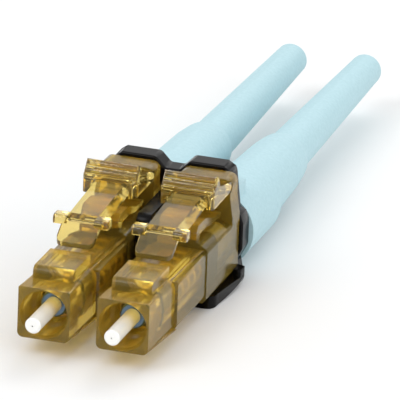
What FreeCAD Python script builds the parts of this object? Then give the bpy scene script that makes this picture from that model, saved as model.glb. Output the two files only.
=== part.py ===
import FreeCAD, Part
import Sketcher
import math
import os
import re

# Duplex LC fibre connector: two plugs side by side in a two-piece clip.
# X runs across the pair, +Y from the noses to the boots, +Z up to the latches.
# The ferrule axes lie at Z = 0 and the front faces of the noses at Y = 0. Millimetres.

SIZES = {
    # the pair
    "plugPitch": 6.25,           # centre distance of the two ferrules
    # joins and cuts
    "lap": 1.0,                  # how far joined features run into one another
    "edgeLap": 0.3,              # the same where the wall is thin
    "overcut": 1.0,              # how far a cut starts outside the piece
    # ferrule and its holder
    "ferruleRadius": 0.625,
    "fibreBoreRadius": 0.063,
    "ferruleTip": 2.63,          # how far the ferrule stands out of the nose
    "ferruleChamfer": 0.14,
    "ferruleSeat": 3.9,          # Y where the ferrule ends inside its holder
    "collarFront": 2.35,
    "collarRadius": 1.03,
    "collarChamfer": 0.12,
    "hexAcrossFlats": 2.6,
    "hexFront": 4.2,
    "hexLength": 1.5,
    "stemRadius": 0.85,
    "stemEnd": 9.4,
    "tubeRadius": 0.45,
    "tubeBoreRadius": 0.25,
    "tubeFront": 5.2,
    "tubeEnd": 18.2,
    # spring
    "springWire": 0.36,
    "springMeanRadius": 1.2,
    "springTurns": 7,
    "springClearance": 0.05,
    # front housing
    "noseWidth": 4.12,
    "noseHeight": 4.08,
    "noseRearWidth": 4.26,
    "noseRearHeight": 4.12,
    "noseLength": 6.05,
    "noseFrontRound": 0.12,
    "noseRearRound": 0.85,
    "bodyWidth": 3.94,
    "bodyHeight": 4.0,
    "bodyRound": 0.45,
    "blockWidth": 3.2,
    "blockFront": 1.95,
    "blockTop": 3.0,
    "blockRound": 0.55,
    "mouthRadius": 1.93,
    "mouthChamfer": 0.3,
    "nozzleRadius": 1.75,        # the bore behind the mouth's lead-in
    "mouthDepth": 2.2,
    "throatRadius": 1.4,
    "throatBevel": 0.2,
    "throatEnd": 3.4,
    "collarClearance": 0.07,
    "chamberRadius": 1.55,
    "stubWidth": 3.7,
    "stubEnd": 16.2,
    # rear cap
    "capFront": 13.0,
    "capEnd": 20.9,
    "capWidth": 4.9,
    "capTop": 2.42,
    "capBottom": 2.42,
    "capChamferAcross": 0.8,
    "capChamferDown": 0.5,
    "capLowerRound": 0.5,
    "neckRadius": 2.0,
    "neckReach": 0.15,           # how far the round neck stands out behind the clip
    "footWidth": 3.0,
    "footThickness": 0.66,
    "humpTop": 3.65,
    "humpEnd": 15.3,
    "humpFall": 2.1,             # length of the slope from the hump to the ledge
    "archTop": 2.85,
    "archEnd": 17.0,
    "archSlope": 1.3,
    "archLead": 0.3,
    "humpRound": 0.9,
    "strapTop": 2.92,
    "strapGap": 0.14,
    "shieldWidth": 4.4,           # at its top
    "shieldFront": 19.1,
    "shieldLip": 0.14,
    "shieldWaist": 4.0,          # height where its flanks end their taper
    "shieldRound": 0.6,
    "windowFront": 18.0,         # opening under the ledge, from side to side
    "windowFloor": 1.95,
    "shieldSlotWidth": 1.5,
    "shieldSlotTop": 4.1,
    # latch lever
    "hingeZ": 4.92,
    "hingeRadius": 0.42,
    "hingeClearance": 0.06,
    "knuckleLength": 0.82,       # solid stretch of the plate ahead of the hinge
    "plateWidth": 4.3,
    "plateThickness": 0.62,
    "skirtWidth": 0.5,
    "padFront": 14.95,
    "padTop": 6.78,
    "padStep": 5.82,
    "padFace": 0.32,
    "padDepth": 1.15,
    "padRake": 0.81,             # how far the grip's top lies behind its foot
    "padRunout": 0.5,
    "padBottom": 4.45,
    "padCorner": 0.3,
    "ridgeRadius": 0.27,
    "ridgeInset": 0.15,
    "lowRidge": 0.25,            # where each ridge sits, as a share of the slope
    "highRidge": 0.75,
    "plateTopFront": 5.85,
    "slotWidth": 3.2,
    "slotTop": 5.3,
    "slotRound": 0.35,
    "slotLap": 0.19,            # how far the arm's top runs above the slot's
    "armWidth": 2.3,
    "armFlare": 3.1,
    "armThickness": 0.75,
    "barTop": 4.92,
    "barFront": 9.1,
    "lugFront": 8.15,
    "lugRear": 9.2,
    "lugSpan": 4.36,
    "lugInner": 1.1,             # from the plug's middle to the lug's inner face
    "lugBottom": 4.15,
    "lugRound": 0.3,
    "tongueFront": 6.75,
    "tongueWidth": 3.0,
    "tongueTipTop": 3.42,
    "tongueThickness": 0.38,
    "tongueRound": 0.5,
    "tongueRootFront": 0.3,
    "tongueRootRear": 0.5,
    "tongueRootRise": 0.35,
    # crimp post and sleeve
    "postHeadRadius": 1.72,
    "postFront": 16.3,
    "postHeadEnd": 18.9,
    "postRadius": 1.3,
    "postBoreRadius": 0.75,
    "postShort": 0.3,            # how far the post ends inside the sleeve
    "knurlPitch": 0.6,
    "knurlDepth": 0.1,
    "sleeveGap": 0.55,           # from the neck's end to the sleeve
    "sleeveLength": 5.6,
    "sleeveWall": 0.28,
    # boot
    "bootGap": 0.05,
    "bootSpacing": 0.15,         # space between the two boots
    "bootBaseLength": 7.1,
    "shoulderRadius": 2.7,
    "shoulderTaperLength": 7.5,
    "shoulderTaperRadius": 2.38,
    "shoulderLength": 10.2,
    "domeLength": 0.9,
    "domeRadius": 2.2,
    "domeRim": 0.25,
    "tailRadius": 1.8,
    "tailLength": 22.2,
    "tailEndRadius": 1.3,
    "tailRound": 0.25,
    "cordBoreRadius": 0.85,
    "keyWidth": 3.4,             # the raised key on the boot's front end
    "keyTop": 3.98,
    "keySlope": 0.29,
    "keyLength": 1.85,
    "keyRoot": 0.5,              # how far above the cavity its foot lies
    "cavityReach": 1.3,          # room in the boot behind the sleeve
    # clip
    "clipGap": 0.1,              # between the caps' rear faces and the plate
    "clipThickness": 1.6,
    "clipTop": 5.95,
    "clipValley": 5.0,
    "valleyHalfWidth": 0.6,
    "humpFoot": 1.35,
    "clipTopReach": 1.9,         # how far the plate runs outside each plug's axis
    "clipWaistReach": 2.375,
    "clipBulgeReach": 3.095,
    "clipBulgeTop": 2.0,
    "bulgeTuck": 0.5,
    "bulgeFall": 1.0,
    "bulgeShoulder": 0.25,
    "bulgeDrop": 0.7,
    "bulgeRise": 0.25,
    "bulgeRound": 0.6,
    "clipSplit": 1.75,
    "clipRound": 1.0,
    "humpFootRound": 0.5,
    "valleyRound": 0.45,
    "clipRim": 0.18,
    "webRound": 0.8,
    "clipClearance": 0.06,
    "trayBottom": 3.45,
    "trayFront": 14.6,
    "trayWall": 0.585,
    "trayNarrowLength": 5.1,
    "trayFlareLength": 4.0,
    "trayFlareAcross": 0.52,
    "trayRound": 0.8,
    "traySideTop": 1.9,
    "webFront": 14.0,
    "webClearance": 0.125,
    "webTop": 3.6,
}

doc = FreeCAD.newDocument("duplex_connector")

sheet = doc.addObject("Spreadsheet::Sheet", "sizes")
for row, (alias, number) in enumerate(SIZES.items(), start=1):
    sheet.set("A%d" % row, alias)
    sheet.set("B%d" % row, str(number))
    sheet.setAlias("B%d" % row, alias)
doc.recompute()

gauge = doc.addObject("App::FeaturePython", "gauge")
gauge.addProperty("App::PropertyFloat", "Reading")

# places that several pieces share
CLIP_FRONT = "capEnd + clipGap"
CLIP_REAR = CLIP_FRONT + " + clipThickness"
NECK_END = CLIP_REAR + " + neckReach"
SLEEVE_FRONT = NECK_END + " + sleeveGap"
SLEEVE_END = SLEEVE_FRONT + " + sleeveLength"
WEB_HALF = "(plugPitch - capWidth) / 2 - webClearance"

NAME = re.compile(r"\b[a-z][A-Za-z]+\b")
FUNCTIONS = ("tan", "cos", "sin", "sqrt")


def bound(text):
    """An expression in plain size names, tied to the sheet."""
    return NAME.sub(lambda m: m.group() if m.group() in FUNCTIONS else "sizes." + m.group(), str(text))


def measure(text):
    """The present value of an expression in size names."""
    gauge.setExpression("Reading", bound(text))
    gauge.recompute()
    return gauge.Reading


def tie(thing, prop, text):
    thing.setExpression(prop, bound(text))


def newBody(name, across="0"):
    """A body whose own X origin lies on the plug's axis."""
    body = doc.addObject("PartDesign::Body", name)
    body.Label = name
    if across != "0":
        tie(body, ".Placement.Base.x", across)
    return body


def newSketch(body, plane, offset="0"):
    """A sketch on one of the body's own origin planes, offset along +X, +Y or +Z."""
    origin = next(f for f in body.Origin.OriginFeatures if f.Role == plane + "_Plane")
    sketch = body.newObject("Sketcher::SketchObject", body.Name + "_sketch")
    sketch.AttachmentSupport = [(origin, "")]
    sketch.MapMode = "FlatFace"
    if offset != "0":
        text = "-(%s)" % offset if plane == "XZ" else offset
        tie(sketch, ".AttachmentOffset.Base.z", text)
    return sketch


def pin(sketch, geometry, point, across, up):
    """Ties a sketch point to its two coordinates from the origin."""
    for kind, text in (("DistanceX", across), ("DistanceY", up)):
        index = sketch.addConstraint(
            Sketcher.Constraint(kind, -1, 1, geometry, point, measure(text)))
        tie(sketch, "Constraints[%d]" % index, text)


def outline(sketch, corners):
    """A closed outline of straight lines through the corners."""
    spots = [FreeCAD.Vector(measure(a), measure(b), 0) for a, b in corners]
    first = sketch.GeometryCount
    count = len(corners)
    sketch.addGeometry([Part.LineSegment(spots[i], spots[(i + 1) % count]) for i in range(count)], False)
    for i in range(count):
        sketch.addConstraint(Sketcher.Constraint("Coincident", first + i, 2, first + (i + 1) % count, 1))
    for i, (across, up) in enumerate(corners):
        pin(sketch, first + i, 1, across, up)
    return sketch


def rectangle(sketch, left, right, bottom, top):
    return outline(sketch, [(left, bottom), (right, bottom), (right, top), (left, top)])


def circle(sketch, radius, across="0", up="0"):
    spot = FreeCAD.Vector(measure(across), measure(up), 0)
    index = sketch.addGeometry(Part.Circle(spot, FreeCAD.Vector(0, 0, 1), measure(radius)), False)
    pin(sketch, index, 3, across, up)
    constraint = sketch.addConstraint(Sketcher.Constraint("Radius", index, measure(radius)))
    tie(sketch, "Constraints[%d]" % constraint, radius)
    return sketch


def roundedRectangle(sketch, width, top, bottom, topRound, bottomRound):
    """An upright rectangle about the axis with rounded corners."""
    half = measure(width) / 2
    high, low = measure(top), -measure(bottom)
    r, q = measure(topRound), measure(bottomRound)
    vector = FreeCAD.Vector
    up = vector(0, 0, 1)
    corners = [(half - r, high - r, r, 0), (r - half, high - r, r, 90),
               (q - half, low + q, q, 180), (half - q, low + q, q, 270)]
    arcs = []
    for x, y, radius, start in corners:
        arc = Part.ArcOfCircle(Part.Circle(vector(x, y, 0), up, radius),
                               math.radians(start), math.radians(start + 90))
        arcs.append(arc)
    for i in range(4):
        sketch.addGeometry(arcs[i], False)
        sketch.addGeometry(Part.LineSegment(arcs[i].EndPoint, arcs[(i + 1) % 4].StartPoint), False)
    for i in range(4):
        sketch.addConstraint(Sketcher.Constraint("Tangent", 2 * i, 2, 2 * i + 1, 1))
        sketch.addConstraint(Sketcher.Constraint("Tangent", 2 * i + 1, 2, (2 * i + 2) % 8, 1))
    for arc, text in ((0, topRound), (2, topRound), (4, bottomRound), (6, bottomRound)):
        index = sketch.addConstraint(Sketcher.Constraint("Radius", arc, measure(text)))
        tie(sketch, "Constraints[%d]" % index, text)
    sides = (("DistanceY", 1, 1, top), ("DistanceY", 5, 1, "-(%s)" % bottom),
             ("DistanceX", 3, 1, "-(%s) / 2" % width), ("DistanceX", 7, 1, "(%s) / 2" % width))
    for line in (1, 5):
        sketch.addConstraint(Sketcher.Constraint("Horizontal", line))
    for line in (3, 7):
        sketch.addConstraint(Sketcher.Constraint("Vertical", line))
    for kind, line, point, text in sides:
        index = sketch.addConstraint(Sketcher.Constraint(kind, -1, 1, line, point, measure(text)))
        tie(sketch, "Constraints[%d]" % index, text)
    return sketch


def extrude(body, kind, sketch, length, symmetric=False):
    """A pad or pocket: sketches on XZ grow to the rear, the others along their normal."""
    feature = body.newObject("PartDesign::" + kind, body.Name + "_" + kind.lower())
    feature.Profile = sketch
    feature.Type = "Length"
    upright = any(f.Role == "XZ_Plane" for f, _ in sketch.AttachmentSupport)
    if symmetric:
        feature.SideType = "Symmetric"
    else:
        feature.Reversed = upright if kind == "Pad" else not upright
    tie(feature, "Length", length)
    doc.recompute()
    return feature


def pad(body, sketch, length, symmetric=False):
    return extrude(body, "Pad", sketch, length, symmetric)


def pocket(body, sketch, length, symmetric=False):
    before = body.Shape.Volume
    feature = extrude(body, "Pocket", sketch, length, symmetric)
    if body.Shape.Volume > before - 1e-6:
        raise RuntimeError(feature.Name + " cuts nothing")
    return feature


def turn(body, kind, corners):
    """A revolved profile about the plug's axis, corners as (Y, radius)."""
    before = body.Shape.Volume if body.Tip else 0
    sketch = outline(newSketch(body, "YZ"), corners)
    feature = body.newObject("PartDesign::" + kind, body.Name + "_" + kind.lower())
    feature.Profile = sketch
    feature.ReferenceAxis = (sketch, ["H_Axis"])
    feature.Angle = 360
    doc.recompute()
    if kind == "Groove" and body.Shape.Volume > before - 1e-6:
        raise RuntimeError(feature.Name + " cuts nothing")
    return feature


def edgesAlong(shape, axis, spots):
    """Names of the straight edges parallel to an axis through the given spots."""
    across = {"X": ("y", "z"), "Y": ("x", "z"), "Z": ("x", "y")}[axis]
    direction = {"X": "x", "Y": "y", "Z": "z"}[axis]
    names = []
    for number, edge in enumerate(shape.Edges, start=1):
        if not isinstance(edge.Curve, Part.Line):
            continue
        a, b = edge.Vertexes[0].Point, edge.Vertexes[-1].Point
        if abs(getattr(a, direction) - getattr(b, direction)) < 1e-4:
            continue
        for spot in spots:
            if all(abs(getattr(p, k) - v) < 1e-3 for p in (a, b) for k, v in zip(across, spot)):
                names.append("Edge%d" % number)
                break
    return names


def soften(body, kind, size, axis, spots):
    """A fillet or chamfer on the edges along an axis through the given spots."""
    tip = body.Tip
    shape = tip.Shape
    names = edgesAlong(shape, axis, [(measure(a), measure(b)) for a, b in spots])
    if not names:
        raise RuntimeError("no edge to soften on " + body.Name)
    feature = body.newObject("PartDesign::" + kind, body.Name + "_" + kind.lower())
    feature.Base = (tip, names)
    tie(feature, "Radius" if kind == "Fillet" else "Size", size)
    doc.recompute()
    return feature


def softenRim(body, size, front):
    """A fillet round the whole rim of the face that lies across the axis at that Y."""
    tip = body.Tip
    place = measure(front)
    names = ["Edge%d" % number for number, edge in enumerate(tip.Shape.Edges, start=1)
             if all(abs(v.Point.y - place) < 1e-4 for v in edge.Vertexes)]
    feature = body.newObject("PartDesign::Fillet", body.Name + "_rim")
    feature.Base = (tip, names)
    tie(feature, "Radius", size)
    doc.recompute()
    return feature


def mirrored(spots):
    """Each spot and its twin across the plug's middle plane."""
    return spots + [("-(%s)" % a, b) for a, b in spots]


def makeFerrule(name, across):
    body = newBody(name, across)
    turn(body, "Revolution", [
        ("-ferruleTip", "fibreBoreRadius"),
        ("-ferruleTip", "ferruleRadius - ferruleChamfer"),
        ("-ferruleTip + ferruleChamfer", "ferruleRadius"),
        ("ferruleSeat", "ferruleRadius"),
        ("ferruleSeat", "fibreBoreRadius")])


def makeFerruleHolder(name, across):
    """Collar, hexagonal flange and stem in one turned piece, bored for ferrule and tube."""
    body = newBody(name, across)
    turn(body, "Revolution", [
        ("collarFront", "ferruleRadius"),
        ("collarFront", "collarRadius - collarChamfer"),
        ("collarFront + collarChamfer", "collarRadius"),
        ("hexFront + hexLength", "collarRadius"),
        ("hexFront + hexLength", "stemRadius"),
        ("stemEnd", "stemRadius"),
        ("stemEnd", "tubeRadius"),
        ("tubeFront", "tubeRadius"),
        ("tubeFront", "tubeBoreRadius"),
        ("ferruleSeat", "tubeBoreRadius"),
        ("ferruleSeat", "ferruleRadius")])
    sketch = newSketch(body, "XZ", "hexFront")
    half = "hexAcrossFlats / 2"
    point = "hexAcrossFlats / sqrt(3)"
    outline(sketch, [("(%s)" % point, "0"), ("(%s) / 2" % point, half), ("-(%s) / 2" % point, half),
                     ("-(%s)" % point, "0"), ("-(%s) / 2" % point, "-(%s)" % half),
                     ("(%s) / 2" % point, "-(%s)" % half)])
    circle(sketch, "stemRadius")
    pad(body, sketch, "hexLength")


def makeGuideTube(name, across):
    body = newBody(name, across)
    turn(body, "Revolution", [
        ("tubeFront", "tubeBoreRadius"), ("tubeFront", "tubeRadius"),
        ("tubeEnd", "tubeRadius"), ("tubeEnd", "tubeBoreRadius")])


def makeSpring(name, across):
    """A coil between the hexagon's rear face and the crimp post's front face."""
    wire = measure("springWire")
    radius = measure("springMeanRadius")
    front = measure("hexFront + hexLength + springClearance + springWire / 2")
    rear = measure("postFront - springClearance - springWire / 2")
    turns = measure("springTurns")
    helix = Part.makeHelix((rear - front) / turns, rear - front, radius)
    section = Part.Wire(Part.makeCircle(wire / 2, FreeCAD.Vector(radius, 0, 0), FreeCAD.Vector(0, 1, 0)))
    coil = Part.Wire(helix.Edges).makePipeShell([section], True, True)
    coil.rotate(FreeCAD.Vector(0, 0, 0), FreeCAD.Vector(1, 0, 0), -90)
    coil.translate(FreeCAD.Vector(0, front, 0))
    spring = doc.addObject("Part::Feature", name)
    spring.Label = name
    spring.Shape = coil
    spring.Placement.Base.x = measure(across)


def makeHousing(name, across):
    """The front moulding: square nose, lead block, body, and the stub the cap snaps over."""
    body = newBody(name, across)
    front = roundedRectangle(newSketch(body, "XZ"), "noseWidth", "noseHeight / 2", "noseHeight / 2",
                             "noseFrontRound", "bodyRound")
    rear = roundedRectangle(newSketch(body, "XZ", "noseLength"), "noseRearWidth", "noseRearHeight / 2",
                            "noseRearHeight / 2", "noseRearRound", "bodyRound")
    loft = body.newObject("PartDesign::AdditiveLoft", name + "_nose")
    loft.Profile = front
    loft.Sections = [rear]
    loft.Ruled = True
    doc.recompute()
    middle = roundedRectangle(newSketch(body, "XZ", "noseLength - lap"), "bodyWidth", "bodyHeight / 2",
                              "bodyHeight / 2", "bodyRound", "bodyRound")
    pad(body, middle, "capFront - noseLength + lap")
    stub = rectangle(newSketch(body, "XZ", "capFront - lap"), "-stubWidth / 2", "stubWidth / 2",
                     "-stubWidth / 2", "stubWidth / 2")
    pad(body, stub, "stubEnd - capFront + lap")
    block = rectangle(newSketch(body, "XZ", "blockFront"), "-blockWidth / 2", "blockWidth / 2",
                      "nozzleRadius", "blockTop")
    pad(body, block, "noseLength - blockFront")
    soften(body, "Fillet", "blockRound", "X", [("blockFront", "blockTop")])
    turn(body, "Groove", [
        ("-overcut", "0"), ("-overcut", "mouthRadius"), ("0", "mouthRadius"),
        ("mouthChamfer", "nozzleRadius"),
        ("mouthDepth", "nozzleRadius"),
        ("mouthDepth + throatBevel", "throatRadius"),
        ("throatEnd", "throatRadius"),
        ("throatEnd", "collarRadius + collarClearance"),
        ("hexFront", "collarRadius + collarClearance"),
        ("hexFront", "chamberRadius"),
        ("stubEnd + overcut", "chamberRadius"),
        ("stubEnd + overcut", "0")])


def makeCap(name, across):
    """The rear moulding: shell, round neck, arched strap on top and the upright shield."""
    body = newBody(name, across)
    half = "capWidth / 2"
    shell = outline(newSketch(body, "XZ", "capFront"), [
        (half, "-capBottom"), (half, "capTop - capChamferDown"),
        ("(%s) - capChamferAcross" % half, "capTop"),
        ("capChamferAcross - (%s)" % half, "capTop"),
        ("-(%s)" % half, "capTop - capChamferDown"), ("-(%s)" % half, "-capBottom")])
    pad(body, shell, "capEnd - capFront")
    soften(body, "Fillet", "capLowerRound", "Y", mirrored([(half, "-capBottom")]))
    soften(body, "Fillet", "capLowerRound", "Y", mirrored([(half, "capTop - capChamferDown")]))
    neck = circle(newSketch(body, "XZ", "capEnd - lap"), "neckRadius")
    pad(body, neck, "%s - capEnd + lap" % NECK_END)
    # strap: foot, hump and ledge in one profile, then the arch below it
    strap = outline(newSketch(body, "YZ"), [
        ("capFront", "capTop - edgeLap"), ("capFront", "humpTop"), ("humpEnd", "humpTop"),
        ("humpEnd + humpFall", "strapTop"),
        ("shieldFront + edgeLap", "strapTop"), ("shieldFront + edgeLap", "capTop + strapGap"),
        ("archEnd", "capTop + strapGap"), ("archEnd - archSlope", "archTop"),
        ("capFront + footThickness + archLead", "archTop"),
        ("capFront + footThickness", "capTop - edgeLap")])
    pad(body, strap, "footWidth", symmetric=True)
    soften(body, "Fillet", "footThickness", "X", [("capFront", "humpTop")])
    soften(body, "Fillet", "humpRound", "X", [("humpEnd", "humpTop"), ("humpEnd + humpFall", "strapTop")])
    top = "hingeZ + hingeRadius + hingeClearance + shieldLip"
    shield = outline(newSketch(body, "XZ", "shieldFront"), [
        (half, "0"), (half, "capTop"), ("shieldWidth / 2", "shieldWaist"), ("shieldWidth / 2", top),
        ("-shieldWidth / 2", top), ("-shieldWidth / 2", "shieldWaist"), ("-(%s)" % half, "capTop"),
        ("-(%s)" % half, "0")])
    pad(body, shield, "capEnd - shieldFront")
    soften(body, "Fillet", "shieldRound", "Y",
           mirrored([("shieldWidth / 2", top)]))
    seat = circle(newSketch(body, "YZ"), "hingeRadius + hingeClearance", "shieldFront", "hingeZ")
    pocket(body, seat, "shieldWidth + overcut", symmetric=True)
    slot = rectangle(newSketch(body, "XZ", "shieldFront - lap"), "-shieldSlotWidth / 2",
                     "shieldSlotWidth / 2", "strapTop", "shieldSlotTop")
    pocket(body, slot, "capEnd - shieldFront + lap + overcut")
    window = rectangle(newSketch(body, "YZ"), "windowFront", "shieldFront", "windowFloor",
                       "capTop + strapGap")
    pocket(body, window, "capWidth + overcut", symmetric=True)
    socket = rectangle(newSketch(body, "XZ", "capFront - overcut"), "-stubWidth / 2", "stubWidth / 2",
                       "-stubWidth / 2", "stubWidth / 2")
    pocket(body, socket, "stubEnd - capFront + overcut")
    turn(body, "Groove", [
        ("stubEnd - lap", "0"), ("stubEnd - lap", "postHeadRadius"), ("postHeadEnd", "postHeadRadius"),
        ("postHeadEnd", "postRadius"), (NECK_END + " + overcut", "postRadius"),
        (NECK_END + " + overcut", "0")])


def makeLever(name, across):
    """The latch: pressed plate with its grip pad, arm, two lugs and sloping tongue."""
    body = newBody(name, across)
    plateBottom = "hingeZ - hingeRadius"
    profile = outline(newSketch(body, "YZ"), [
        ("shieldFront", plateBottom), ("shieldFront", "hingeZ + hingeRadius"),
        ("padFront + padDepth + padRunout", "plateTopFront"),
        ("padFront + padDepth", "padTop"),
        ("padFront + padFace + padRake", "padTop"),
        ("padFront + padFace", "padStep"), ("padFront", "padStep"),
        ("padFront", "padBottom"), ("padFront + padDepth", "padBottom")])
    pad(body, profile, "plateWidth", symmetric=True)
    soften(body, "Fillet", "padCorner", "Z", mirrored([("plateWidth / 2", "padFront")]))
    knuckle = circle(newSketch(body, "YZ"), "hingeRadius", "shieldFront", "hingeZ")
    pad(body, knuckle, "plateWidth", symmetric=True)
    # two grip ridges along the sloping front of the pad
    for share in ("lowRidge", "highRidge"):
        ridge = circle(newSketch(body, "YZ"), "ridgeRadius",
                       "padFront + padFace + %s * padRake" % share,
                       "padStep + %s * (padTop - padStep)" % share)
        pad(body, ridge, "plateWidth - 2 * ridgeInset", symmetric=True)
    # the plate is hollow below between its side skirts
    hollow = outline(newSketch(body, "YZ"), [
        ("shieldFront - knuckleLength", "padBottom - overcut"),
        ("shieldFront - knuckleLength", "hingeZ + hingeRadius - plateThickness"),
        ("padFront + padDepth", "plateTopFront - plateThickness"),
        ("padFront + padDepth", "padBottom - overcut")])
    pocket(body, hollow, "plateWidth - 2 * skirtWidth", symmetric=True)
    # the pad straddles the arm
    slot = rectangle(newSketch(body, "XZ", "padFront - overcut"), "-slotWidth / 2", "slotWidth / 2",
                     "padBottom - overcut", "slotTop")
    pocket(body, slot, "padDepth + overcut + edgeLap")
    soften(body, "Fillet", "slotRound", "Y", mirrored([("slotWidth / 2", "slotTop")]))
    arm = outline(newSketch(body, "XZ", "barFront"), [
        ("-armFlare / 2", "barTop - armThickness"), ("armFlare / 2", "barTop - armThickness"),
        ("armWidth / 2", "barTop"), ("-armWidth / 2", "barTop")])
    armEnd = outline(newSketch(body, "XZ", "padFront + padDepth"), [
        ("-armFlare / 2", "slotTop + slotLap - armThickness"),
        ("armFlare / 2", "slotTop + slotLap - armThickness"),
        ("armWidth / 2", "slotTop + slotLap"), ("-armWidth / 2", "slotTop + slotLap")])
    loft = body.newObject("PartDesign::AdditiveLoft", name + "_arm")
    loft.Profile = arm
    loft.Sections = [armEnd]
    loft.Ruled = True
    doc.recompute()
    for inner in ("lugInner", "-lugSpan / 2"):
        lug = rectangle(newSketch(body, "YZ", inner), "lugFront", "lugRear", "lugBottom", "barTop")
        pad(body, lug, "lugSpan / 2 - lugInner")
    soften(body, "Fillet", "lugRound", "X", [("lugFront", "barTop"), ("lugFront", "lugBottom")])
    tongue = outline(newSketch(body, "YZ"), [
        ("tongueFront", "tongueTipTop - tongueThickness"), ("tongueFront", "tongueTipTop"),
        ("lugFront + tongueRootFront", "lugBottom + tongueRootRise"),
        ("lugRear", "lugBottom + tongueRootRise"), ("lugRear", "lugBottom"),
        ("lugFront + tongueRootRear", "lugBottom")])
    pad(body, tongue, "tongueWidth", symmetric=True)
    soften(body, "Fillet", "tongueRound", "Z", mirrored([("tongueWidth / 2", "tongueFront")]))


def makeCrimpPost(name, across):
    """The turned post that closes the cap, with rings that grip the cord's strength yarn."""
    body = newBody(name, across)
    turn(body, "Revolution", [
        ("postFront", "postBoreRadius"), ("postFront", "postHeadRadius"),
        ("postHeadEnd", "postHeadRadius"), ("postHeadEnd", "postRadius"),
        (SLEEVE_END + " - postShort", "postRadius"), (SLEEVE_END + " - postShort", "postBoreRadius")])
    ringSketch = rectangle(newSketch(body, "YZ"), SLEEVE_FRONT + " + knurlPitch",
                           SLEEVE_FRONT + " + knurlPitch * 3 / 2",
                           "postRadius - knurlDepth", "postRadius + knurlDepth")
    groove = body.newObject("PartDesign::Groove", name + "_ring")
    groove.Profile = ringSketch
    groove.ReferenceAxis = (ringSketch, ["H_Axis"])
    groove.Angle = 360
    doc.recompute()
    rings = body.newObject("PartDesign::LinearPattern", name + "_rings")
    rings.Originals = [groove]
    rings.Direction = (ringSketch, ["H_Axis"])
    tie(rings, "Length", "knurlPitch * 6")
    rings.Occurrences = 7
    body.Tip = rings
    doc.recompute()


def makeCrimpSleeve(name, across):
    body = newBody(name, across)
    turn(body, "Revolution", [
        (SLEEVE_FRONT, "postRadius"), (SLEEVE_FRONT, "postRadius + sleeveWall"),
        (SLEEVE_END, "postRadius + sleeveWall"), (SLEEVE_END, "postRadius")])


def makeBoot(name, across):
    """The bend-relief boot: base, domed shoulder and long tapering tail."""
    body = newBody(name, across)
    cavity = "postRadius + sleeveWall"
    front = NECK_END + " + bootGap"
    wide = "plugPitch / 2 - bootSpacing / 2"
    baseEnd = front + " + bootBaseLength"
    ring = baseEnd + " + shoulderLength"
    end = ring + " + tailLength"
    turn(body, "Revolution", [
        (front, cavity), (front, wide), (baseEnd, wide), (baseEnd, "shoulderRadius"),
        (baseEnd + " + shoulderTaperLength", "shoulderTaperRadius"),
        (ring + " - domeLength", "domeRadius"),
        (ring + " - domeRim", "(shoulderTaperRadius + tailRadius) / 2"),
        (ring, "tailRadius"), (end + " - tailRound", "tailEndRadius"),
        (end, "tailEndRadius - tailRound"), (end, "cordBoreRadius"),
        (SLEEVE_END + " + cavityReach", "cordBoreRadius"), (SLEEVE_END + " + cavityReach", cavity)])
    key = outline(newSketch(body, "XZ", front), [
        ("-keyWidth / 2", cavity + " + keyRoot"), ("keyWidth / 2", cavity + " + keyRoot"),
        ("keyWidth / 2", "keyTop - keySlope"), ("keyWidth / 4", "keyTop"),
        ("-keyWidth / 4", "keyTop"), ("-keyWidth / 2", "keyTop - keySlope")])
    pad(body, key, "keyLength")


def makeClip(name):
    """The upper clip: humped plate with downward slots, side bulges and the centre web."""
    body = newBody(name)
    bulge = "plugPitch / 2 + clipBulgeReach"
    waist = "plugPitch / 2 + clipWaistReach"
    crest = "plugPitch / 2 + clipTopReach"
    right = [(bulge + " - bulgeTuck", "-clipSplit"), (bulge, "bulgeFall - clipSplit"),
             (bulge, "clipBulgeTop - bulgeDrop"), (bulge + " - bulgeShoulder", "clipBulgeTop"),
             (waist, "clipBulgeTop + bulgeRise"), (crest, "clipTop"),
             ("humpFoot", "clipTop"), ("valleyHalfWidth", "clipValley")]
    left = [("-(%s)" % a, b) for a, b in reversed(right)]
    plate = outline(newSketch(body, "XZ", CLIP_FRONT), right + left)
    pad(body, plate, "clipThickness")
    soften(body, "Fillet", "clipRound", "Y", mirrored([(crest, "clipTop")]))
    soften(body, "Fillet", "humpFootRound", "Y", mirrored([("humpFoot", "clipTop")]))
    soften(body, "Fillet", "valleyRound", "Y", mirrored([("valleyHalfWidth", "clipValley")]))
    soften(body, "Fillet", "bulgeRound", "Y", mirrored([
        (bulge, "bulgeFall - clipSplit"), (bulge, "clipBulgeTop - bulgeDrop")]))
    softenRim(body, "clipRim", CLIP_FRONT)
    for side in ("plugPitch / 2", "-plugPitch / 2"):
        slot = circle(newSketch(body, "XZ", CLIP_FRONT + " - overcut"), "neckRadius + clipClearance",
                      side, "0")
        pocket(body, slot, "clipThickness + 2 * overcut")
        mouth = rectangle(newSketch(body, "XZ", CLIP_FRONT + " - overcut"),
                          "%s - neckRadius - clipClearance" % side,
                          "%s + neckRadius + clipClearance" % side, "-clipSplit - overcut", "0")
        pocket(body, mouth, "clipThickness + 2 * overcut")
    web = rectangle(newSketch(body, "XZ", "webFront"), "-(%s)" % WEB_HALF, WEB_HALF,
                    "-clipSplit", "webTop")
    pad(body, web, CLIP_REAR + " - webFront")
    soften(body, "Fillet", "webRound", "X", [("webFront", "webTop")])


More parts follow.
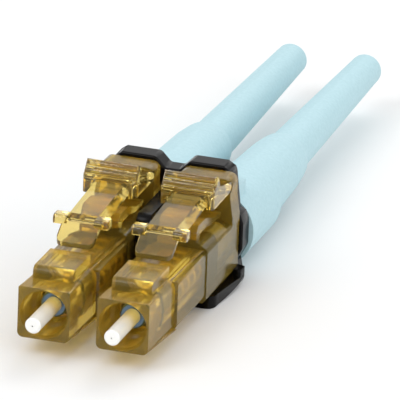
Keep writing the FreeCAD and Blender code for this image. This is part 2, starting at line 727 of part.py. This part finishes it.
def makeTray(name):
    """The lower clip: a tray under both plugs, side hooks, a middle rib and two cradles."""
    body = newBody(name)
    floorTop = "capBottom + clipClearance"
    cheek = "plugPitch / 2 + capWidth / 2 + clipClearance"
    half = cheek + " + trayWall"
    narrow = half + " - trayFlareAcross"
    wideFront = "trayFront + trayNarrowLength"
    floor = outline(newSketch(body, "XY", "-trayBottom"), [
        ("-(%s)" % narrow, "trayFront"), (narrow, "trayFront"),
        (narrow, wideFront + " - trayFlareLength"), (half, wideFront),
        (half, CLIP_REAR), ("-(%s)" % half, CLIP_REAR), ("-(%s)" % half, wideFront),
        ("-(%s)" % narrow, wideFront + " - trayFlareLength")])
    pad(body, floor, "trayBottom - (%s)" % floorTop)
    for inner, outer in ((cheek, half), ("-(%s)" % half, "-(%s)" % cheek)):
        side = rectangle(newSketch(body, "XY", "-trayBottom"), inner, outer, wideFront, CLIP_REAR)
        pad(body, side, "trayBottom - traySideTop")
    rib = rectangle(newSketch(body, "XY", "-trayBottom"), "-(%s)" % WEB_HALF, WEB_HALF,
                    "trayFront", CLIP_REAR)
    pad(body, rib, "trayBottom - clipSplit - clipClearance")
    wall = rectangle(newSketch(body, "XZ", CLIP_FRONT), "-(%s)" % half, half,
                     "-trayBottom", "-clipSplit - clipClearance")
    pad(body, wall, "clipThickness")
    for side in ("plugPitch / 2", "-plugPitch / 2"):
        cradle = circle(newSketch(body, "XZ", CLIP_FRONT + " - overcut"), "neckRadius + clipClearance",
                        side, "0")
        pocket(body, cradle, "clipThickness + 2 * overcut")
    soften(body, "Fillet", "trayRound", "Y", mirrored([(half, "-trayBottom")]))
    soften(body, "Fillet", "trayRound", "Z", mirrored([(narrow, "trayFront")]))


SIDES = {"left": "-plugPitch / 2", "right": "plugPitch / 2"}
MAKERS = {
    "plug_housing": makeHousing, "rear_cap": makeCap, "latch_lever": makeLever,
    "ferrule": makeFerrule, "ferrule_holder": makeFerruleHolder, "guide_tube": makeGuideTube,
    "ferrule_spring": makeSpring, "crimp_post": makeCrimpPost, "crimp_sleeve": makeCrimpSleeve,
    "boot": makeBoot,
}

nodes = []
for side, across in SIDES.items():
    for piece, maker in MAKERS.items():
        node = "%s_%s" % (piece, side)
        maker(node, across)
        nodes.append(node)
makeClip("clip_upper")
makeTray("clip_tray")
nodes += ["clip_upper", "clip_tray"]

doc.recompute()
doc.removeObject(gauge.Name)
doc.recompute()

for thing in doc.Objects:
    if "Invalid" in thing.State or "Error" in thing.State:
        raise RuntimeError("%s failed: %s" % (thing.Name, thing.State))

os.makedirs("parts", exist_ok=True)
shapes = {node: doc.getObject(node).Shape for node in nodes}
bad = [node for node, shape in shapes.items()
       if shape.isNull() or not shape.isValid() or len(shape.Solids) != 1]
if bad:
    raise RuntimeError("bad shapes: " + ", ".join(bad))
for node, shape in shapes.items():
    shape.exportStep("parts/%s.step" % node)
    box = shape.BoundBox
    print("%-22s volume %8.3f  Y %6.2f to %6.2f  Z %5.2f to %5.2f"
          % (node, shape.Volume, box.YMin, box.YMax, box.ZMin, box.ZMax))
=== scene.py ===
import math

import bmesh
import bpy
from mathutils import Matrix, Vector


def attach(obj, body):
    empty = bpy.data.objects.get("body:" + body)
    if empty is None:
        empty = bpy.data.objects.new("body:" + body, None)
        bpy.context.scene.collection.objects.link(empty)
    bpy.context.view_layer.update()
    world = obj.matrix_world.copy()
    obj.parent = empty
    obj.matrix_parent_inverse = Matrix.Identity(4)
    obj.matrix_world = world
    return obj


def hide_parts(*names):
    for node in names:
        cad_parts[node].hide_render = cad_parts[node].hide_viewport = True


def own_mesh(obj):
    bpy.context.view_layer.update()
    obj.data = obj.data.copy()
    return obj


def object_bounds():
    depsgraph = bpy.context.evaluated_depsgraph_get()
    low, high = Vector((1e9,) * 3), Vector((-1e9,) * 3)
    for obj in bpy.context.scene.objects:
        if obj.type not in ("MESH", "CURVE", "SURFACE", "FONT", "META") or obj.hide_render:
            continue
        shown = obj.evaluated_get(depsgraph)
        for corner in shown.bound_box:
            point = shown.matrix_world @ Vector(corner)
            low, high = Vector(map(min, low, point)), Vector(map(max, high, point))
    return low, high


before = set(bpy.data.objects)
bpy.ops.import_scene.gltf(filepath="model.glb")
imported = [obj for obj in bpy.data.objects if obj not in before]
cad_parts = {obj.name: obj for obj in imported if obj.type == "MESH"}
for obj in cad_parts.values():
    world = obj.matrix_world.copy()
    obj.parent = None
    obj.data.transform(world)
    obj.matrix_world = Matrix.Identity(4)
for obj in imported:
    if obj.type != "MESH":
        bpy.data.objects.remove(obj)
cadLow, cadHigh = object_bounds()
print("frame loaded:", len(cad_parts), "nodes")

mm = 0.001
sides = ("left", "right")


def toLinear(hexColour):
    # sRGB hex to the linear values that shaders work in
    channels = [int(hexColour[i:i + 2], 16) / 255 for i in (0, 2, 4)]
    linear = [c / 12.92 if c <= 0.04045 else ((c + 0.055) / 1.055) ** 2.4 for c in channels]
    return (*linear, 1.0)


def addNode(tree, kind, links=(), **settings):
    # one node, its settings by name and its links as (input, output socket)
    node = tree.nodes.new(kind)
    for name, value in settings.items():
        if name in node.inputs:
            node.inputs[name].default_value = value
        else:
            setattr(node, name, value)
    for target, source in links:
        tree.links.new(source, node.inputs[target])
    return node


def startMaterial(name):
    material = bpy.data.materials.new(name)
    material.use_nodes = True
    tree = material.node_tree
    tree.nodes.clear()
    shader = addNode(tree, "ShaderNodeBsdfPrincipled")
    addNode(tree, "ShaderNodeOutputMaterial", [("Surface", shader.outputs["BSDF"])])
    return material, tree, shader


def setSockets(shader, **values):
    for name, value in values.items():
        shader.inputs[name.replace("_", " ")].default_value = value


# moulded polyetherimide: clear amber plastic. The housings' walls are thick and
# drawn along their length, so they look hazy, and an index under the resin's own 1.6 keeps
# their sides from filming over with white; the latch is thin and from a polished mould
amberLooks = {
    "amberHousing": {"colour": "EFCF5E", "roughness": 0.16, "ior": 1.33, "transmission": 0.87},
    "amberLatch": {"colour": "F0D67C", "roughness": 0.05, "ior": 1.5, "transmission": 0.95},
}


def makeAmber(name):
    material, tree, shader = startMaterial(name)
    look = amberLooks[name]
    setSockets(shader, Base_Color=toLinear(look["colour"]), Roughness=look["roughness"],
               IOR=look["ior"], Transmission_Weight=look["transmission"])
    return material


# injection moulded black nylon: half gloss, very dark brown in the light
clipLook = {"colour": "0D0B0A", "roughness": 0.2, "ior": 1.53, "mirror": 0.1}


def makeClipBlack():
    material, tree, shader = startMaterial("blackNylon")
    setSockets(shader, Base_Color=toLinear(clipLook["colour"]), Roughness=clipLook["roughness"],
               IOR=clipLook["ior"], Specular_IOR_Level=clipLook["mirror"])
    return material


# soft moulded elastomer: matt, its fine mould texture seen as faint mottling
bootLook = {"colour": "B9DAE2", "shade": "B0D3DB", "roughness": 0.6, "ior": 1.5,
            "grain": 0.25, "detail": 2.0, "darkTo": 0.3, "lightFrom": 0.7,
            "relief": 0.004, "reliefStrength": 0.4}


def makeBootRubber():
    material, tree, shader = startMaterial("aquaElastomer")
    place = addNode(tree, "ShaderNodeTexCoord")
    grain = addNode(tree, "ShaderNodeTexNoise", [("Vector", place.outputs["Object"])],
                    Scale=1 / (bootLook["grain"] * mm), Detail=bootLook["detail"])
    ramp = addNode(tree, "ShaderNodeValToRGB", [("Fac", grain.outputs["Fac"])])
    ramp.color_ramp.elements[0].position = bootLook["darkTo"]
    ramp.color_ramp.elements[0].color = toLinear(bootLook["shade"])
    ramp.color_ramp.elements[1].position = bootLook["lightFrom"]
    ramp.color_ramp.elements[1].color = toLinear(bootLook["colour"])
    tree.links.new(ramp.outputs["Color"], shader.inputs["Base Color"])
    bump = addNode(tree, "ShaderNodeBump", [("Height", grain.outputs["Fac"])],
                   Strength=bootLook["reliefStrength"], Distance=bootLook["relief"] * mm)
    tree.links.new(bump.outputs["Normal"], shader.inputs["Normal"])
    setSockets(shader, Roughness=bootLook["roughness"], IOR=bootLook["ior"])
    return material


# polished zirconia ceramic: dense white, glassy surface
zirconiaLook = {"colour": "F4F4F0", "roughness": 0.12, "ior": 2.1}


def makeZirconia():
    material, tree, shader = startMaterial("polishedZirconia")
    setSockets(shader, Base_Color=toLinear(zirconiaLook["colour"]), IOR=zirconiaLook["ior"],
               Roughness=zirconiaLook["roughness"])
    return material


metalLooks = {
    # ferrule holder: its colour is painted shade, a dim blue-grey for how dark it sits inside the
    # amber housing; the bright nickel itself is near cool white
    "nickelHolderPaintedShade": {"colour": "5F7387", "roughness": 0.3},    # turned holder, cool white
    "drawnStainless": {"colour": "C9C8C3", "roughness": 0.28},       # tube and spring wire
    "turnedPostSteel": {"colour": "BDBBB6", "roughness": 0.32},      # crimp post
    "annealedSleeve": {"colour": "CFC9BC", "roughness": 0.36},       # crimp sleeve, satin
}


def makeMetal(name):
    material, tree, shader = startMaterial(name)
    look = metalLooks[name]
    setSockets(shader, Base_Color=toLinear(look["colour"]), Metallic=1.0, Roughness=look["roughness"])
    return material


amber = makeAmber("amberHousing")
amberClear = makeAmber("amberLatch")
finishes = {
    "plug_housing": amber, "rear_cap": amber, "latch_lever": amberClear,
    "ferrule": makeZirconia(), "ferrule_holder": makeMetal("nickelHolderPaintedShade"),
    "guide_tube": makeMetal("drawnStainless"), "crimp_post": makeMetal("turnedPostSteel"),
    "crimp_sleeve": makeMetal("annealedSleeve"), "boot": makeBootRubber(),
}
finishes["ferrule_spring"] = finishes["guide_tube"]
clipBlack = makeClipBlack()


def dress(node, material):
    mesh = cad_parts[node].data
    mesh.materials.clear()
    mesh.materials.append(material)


for piece, material in finishes.items():
    for side in sides:
        dress(piece + "_" + side, material)
for node in ("clip_upper", "clip_tray"):
    dress(node, clipBlack)
print("materials on:", len(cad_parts), "nodes")

pitch = 6.25 * mm  # between the two plugs' axes
plugAxis = {"left": -pitch / 2, "right": pitch / 2}

# moulded edges: a mould leaves each corner slightly round, and clear plastic
# lights up along it
edgeLook = {"join": 0.002, "flat": 1.5, "sharp": 38.0, "segments": 2}


def closedCopy(node):
    # the CAD solid as one closed mesh, to be reshaped or softened
    shape = bmesh.new()
    shape.from_mesh(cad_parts[node].data)
    bmesh.ops.remove_doubles(shape, verts=shape.verts, dist=edgeLook["join"] * mm)
    return shape


def softenEdges(shape, width):
    bmesh.ops.dissolve_limit(shape, angle_limit=math.radians(edgeLook["flat"]),
                             verts=shape.verts, edges=shape.edges)
    limit = math.radians(edgeLook["sharp"])
    sharp = [e for e in shape.edges if len(e.link_faces) == 2 and e.calc_face_angle(0) > limit]
    bmesh.ops.bevel(shape, geom=sharp, offset=width * mm, offset_type="OFFSET",
                    segments=edgeLook["segments"], profile=0.5, affect="EDGES",
                    clamp_overlap=True, material=-1)


def finishPiece(shape, name, body, node, material):
    mesh = bpy.data.meshes.new(name)
    shape.to_mesh(mesh)
    shape.free()
    mesh.materials.append(material)
    mesh.shade_smooth()
    mesh.set_sharp_from_angle(angle=math.radians(edgeLook["sharp"]))
    piece = bpy.data.objects.new(name, mesh)
    bpy.context.scene.collection.objects.link(piece)
    # wide faces stay flat beside their round edges
    flat = piece.modifiers.new("flatFaces", "WEIGHTED_NORMAL")
    flat.keep_sharp = True
    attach(piece, body)
    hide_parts(node)
    return piece


# front moulding: the skin of its body, from the nose's rim to the rear cap, stands a little
# wider and deeper than the plain solid; its bore, its rear stub and the rim stay
housingShape = {
    "edge": 0.05,
    "rim": 6.04, "rimNear": 0.02, "rimHalf": 1.975, "rimTall": 2.005,  # Y of the rim, its corners
    "rear": 12.95, "end": 13.05, "stub": 1.9,    # Y where the stub starts and stops, its half width
    "inner": 1.8, "core": 1.65,                  # the skin is outside this radius and half width
    "wider": 0.4, "deeper": 0.07,
}


def makeHousing(side):
    size = housingShape
    shape = closedCopy("plug_housing_" + side)
    for vert in shape.verts:
        dx, y, z = (vert.co.x - plugAxis[side]) / mm, vert.co.y / mm, vert.co.z / mm
        skin = math.hypot(dx, z) > size["inner"] and size["rim"] < y < size["end"]
        onStub = y > size["rear"] and max(abs(dx), abs(z)) < size["stub"]
        onRim = (y < size["rim"] + size["rimNear"]
                 and (abs(dx) > size["rimHalf"] or abs(z) > size["rimTall"]))
        if skin and not onStub and not onRim:
            if abs(dx) > size["core"]:
                vert.co.x += math.copysign(size["wider"] * mm, dx)
            if z < -size["core"]:
                vert.co.z -= size["deeper"] * mm
    softenEdges(shape, size["edge"])
    finishPiece(shape, "housing_" + side, "connector", "plug_housing_" + side, amber)


# rear moulding and latch lever: as the solids, with their mould-round edges
capShape = {"edge": 0.05}
leverShape = {"edge": 0.045}


def makeCap(side):
    shape = closedCopy("rear_cap_" + side)
    softenEdges(shape, capShape["edge"])
    finishPiece(shape, "cap_" + side, "connector", "rear_cap_" + side, amber)


def makeLever(side):
    shape = closedCopy("latch_lever_" + side)
    softenEdges(shape, leverShape["edge"])
    finishPiece(shape, "lever_" + side, "latch_" + side, "latch_lever_" + side,
                amberClear)


# upper clip: drawn in at the sides, its humps a touch lower
clipShape = {"edge": 0.12, "bore": 2.15, "outside": 4.2, "drawn": 0.38, "top": 5.5, "lower": 0.12}


def makeClip():
    size = clipShape
    shape = closedCopy("clip_upper")
    for vert in shape.verts:
        x, z = vert.co.x / mm, vert.co.z / mm
        inBore = math.hypot(abs(x) - pitch / 2 / mm, z) < size["bore"]
        if abs(x) > size["outside"] and not inBore:
            vert.co.x -= math.copysign(size["drawn"] * mm, x)
        if z > size["top"]:
            vert.co.z -= size["lower"] * mm
    softenEdges(shape, size["edge"])
    finishPiece(shape, "clip_top", "connector", "clip_upper", clipBlack)


# lower clip: a tray whose sides run in again behind their widest place
trayShape = {"edge": 0.25, "widest": 20.7, "behind": 20.9, "rearHalf": 5.3}


def makeTray():
    size = trayShape
    shape = closedCopy("clip_tray")
    bmesh.ops.bisect_plane(shape, geom=shape.verts[:] + shape.edges[:] + shape.faces[:],
                           dist=edgeLook["join"] * mm, plane_co=(0, size["widest"] * mm, 0),
                           plane_no=(0, 1, 0))
    for vert in shape.verts:
        if abs(vert.co.x) / mm > size["rearHalf"] and vert.co.y / mm > size["behind"]:
            vert.co.x = math.copysign(size["rearHalf"] * mm, vert.co.x)
    softenEdges(shape, size["edge"])
    finishPiece(shape, "clip_base", "connector", "clip_tray", clipBlack)


def makeSpring(side):
    shape = closedCopy("ferrule_spring_" + side)
    spring = finishPiece(shape, "spring_" + side, "connector", "ferrule_spring_" + side,
                         finishes["ferrule_spring"])
    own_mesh(spring)


for side in sides:
    makeSpring(side)
    makeHousing(side)
    makeCap(side)
    makeLever(side)
makeClip()
makeTray()
print("mouldings softened")

# studio
studio = {
    "floorSize": 1.2, "floorColour": "F4F4F4", "floorRoughness": 0.9,
    "worldColour": "FFFFFF", "worldFill": 0.72, "shownStrength": 1.0,
    "lampAim": (0, 0.02, 0),
    "keyPlace": (-0.25, -0.35, 0.45), "keySize": 0.30, "keyPower": 1.1,
    "fillPlace": (0.40, -0.25, 0.25), "fillSize": 0.30, "fillPower": 0.5,
    "backPlace": (0.05, 0.40, 0.40), "backSize": 0.35, "backPower": 0.8,
}


def showWhite(tree):
    # 1 where the camera, gloss or clear plastic sees the world, 0 where it lights matt faces
    path = addNode(tree, "ShaderNodeLightPath")
    seen = addNode(tree, "ShaderNodeMath", operation="MAXIMUM",
                   links=[(0, path.outputs["Is Camera Ray"]), (1, path.outputs["Is Glossy Ray"])])
    return addNode(tree, "ShaderNodeMath", operation="MAXIMUM",
                   links=[(0, seen.outputs[0]), (1, path.outputs["Is Transmission Ray"])])


def makeFloor():
    size = studio["floorSize"]
    mesh = bpy.data.meshes.new("floor")
    shape = bmesh.new()
    bmesh.ops.create_grid(shape, x_segments=1, y_segments=1, size=size / 2,
                          matrix=Matrix.Translation((0, 0, cadLow.z)))
    shape.to_mesh(mesh)
    shape.free()
    floor = bpy.data.objects.new("floor", mesh)
    bpy.context.scene.collection.objects.link(floor)
    material, tree, shader = startMaterial("paleFloor")
    setSockets(shader, Base_Color=toLinear(studio["floorColour"]), Roughness=studio["floorRoughness"])
    mesh.materials.append(material)


def makeWorld():
    world = bpy.data.worlds.new("studioWorld")
    bpy.context.scene.world = world
    world.use_nodes = True
    tree = world.node_tree
    tree.nodes.clear()
    fill = addNode(tree, "ShaderNodeBackground", Color=toLinear(studio["worldColour"]),
                   Strength=studio["worldFill"])
    white = addNode(tree, "ShaderNodeBackground", Color=toLinear(studio["worldColour"]),
                    Strength=studio["shownStrength"])
    seen = showWhite(tree)
    mix = addNode(tree, "ShaderNodeMixShader",
                  [(0, seen.outputs[0]), (1, fill.outputs[0]), (2, white.outputs[0])])
    addNode(tree, "ShaderNodeOutputWorld", [("Surface", mix.outputs[0])])


def makeLamp(name):
    lamp = bpy.data.lights.new(name + "Lamp", "AREA")
    lamp.size = studio[name + "Size"]
    lamp.energy = studio[name + "Power"]
    thing = bpy.data.objects.new(name + "Lamp", lamp)
    bpy.context.scene.collection.objects.link(thing)
    thing.location = studio[name + "Place"]
    aim = Vector(studio["lampAim"]) - thing.location
    thing.rotation_euler = aim.to_track_quat("-Z", "Y").to_euler()


makeFloor()
makeWorld()
for name in ("key", "fill", "back"):
    makeLamp(name)

# a long lens held well back: the boots' ends look only a little smaller than the noses
shot = {"azimuth": 17.13, "elevation": 20.43, "roll": 2.295, "distance": 0.8241,
        "aim": (0.0, 0.025, 0.0), "right": 0.001088, "up": 0.001025,
        "lens": 961.1, "sensor": 36.0}


def makeCamera():
    az, el, roll = (math.radians(shot[k]) for k in ("azimuth", "elevation", "roll"))
    look = Vector((-math.sin(az) * math.cos(el), math.cos(az) * math.cos(el), -math.sin(el)))
    right = Vector((math.cos(az), math.sin(az), 0))
    up = right.cross(look)
    turnedRight = math.cos(roll) * right + math.sin(roll) * up
    turnedUp = math.cos(roll) * up - math.sin(roll) * right
    place = (Vector(shot["aim"]) + turnedRight * shot["right"] + turnedUp * shot["up"]
             - look * shot["distance"])
    lens = bpy.data.cameras.new("productCamera")
    lens.lens = shot["lens"]
    lens.sensor_width = shot["sensor"]
    camera = bpy.data.objects.new("productCamera", lens)
    bpy.context.scene.collection.objects.link(camera)
    turn = Matrix((turnedRight, turnedUp, -look)).transposed().to_4x4()
    camera.matrix_world = Matrix.Translation(place) @ turn
    bpy.context.scene.camera = camera


makeCamera()
bpy.context.scene.view_settings.view_transform = "Standard"
print("studio and camera set")
